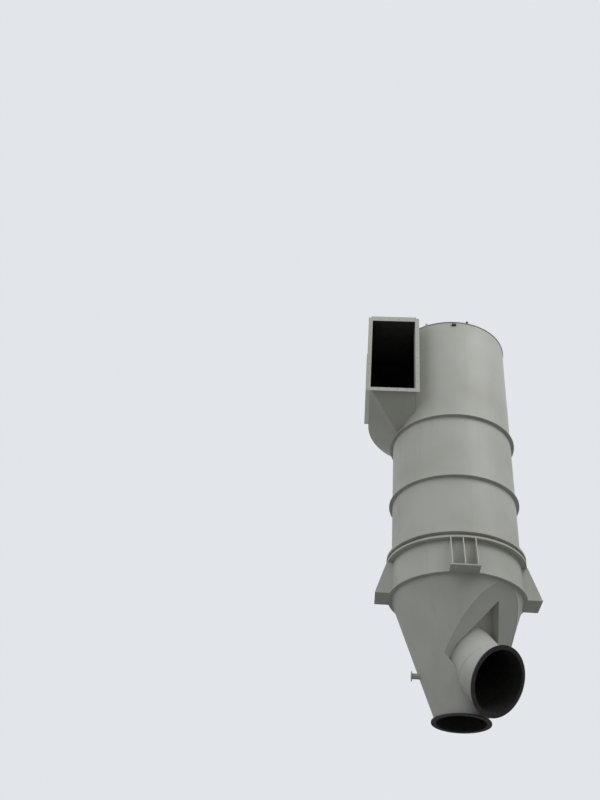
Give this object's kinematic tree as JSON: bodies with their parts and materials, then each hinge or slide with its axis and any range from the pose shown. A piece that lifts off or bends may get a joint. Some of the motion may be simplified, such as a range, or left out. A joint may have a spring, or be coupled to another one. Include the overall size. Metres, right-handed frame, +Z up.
{
  "type": "cyclone separator",
  "caption": "Cyclone separator with a rectangular scroll inlet, ring-stiffened barrel, footed support belt, conical hopper and a sloping round gas outlet.",
  "frame": {"origin": "on the vessel axis, in the plane on which the support ring and the four feet rest", "axes": "+Z up the vessel axis; gas enters the inlet along +Y, and the inlet lies on the -X side"},
  "size_m": [3.052, 2.76, 7.575],
  "materials": {
    "paint": "satin off-white machine paint, dusty",
    "bare_steel": "dark primed flange faces",
    "inner_steel": "unpainted plate, dark"
  },
  "bodies": {
    "root": {"roof": "paint", "roof_bars": "paint", "barrel_head": "paint", "scroll_wall": "paint", "scroll_side_wall": "paint", "scroll_bottom": "paint", "scroll_side_bottom": "paint", "scroll_stiffener": "paint", "inlet_inner_wall": "paint", "inlet_floor": "paint", "inlet_ceiling": "paint", "inlet_flange": "paint", "barrel_upper_course": "paint", "barrel_lower_course": "paint", "ring_upper": "paint", "ring_middle": "paint", "barrel_flange": "paint", "belt_flange": "paint", "belt_ring": "paint", "support_belt": "paint", "support_ring": "paint", "foot_plate_1": "paint", "foot_plate_2": "paint", "foot_plate_3": "paint", "foot_plate_4": "paint", "foot_ribs_1": "paint", "foot_ribs_2": "paint", "foot_ribs_3": "paint", "foot_ribs_4": "paint", "lifting_lug_1": "paint", "lifting_lug_2": "paint", "lifting_lug_3": "paint", "lifting_lug_4": "paint", "cone_shell": "paint", "cone_flat": "paint", "duct_recess": "paint", "outlet_duct": "paint", "cone_nozzle": "paint", "duct_knee": "paint", "dust_outlet_flange": "bare_steel", "outlet_duct_flange": "bare_steel", "roof_stub": "bare_steel", "rim_cleat": "bare_steel", "vortex_tube": "inner_steel"}
  },
  "joints": []
}
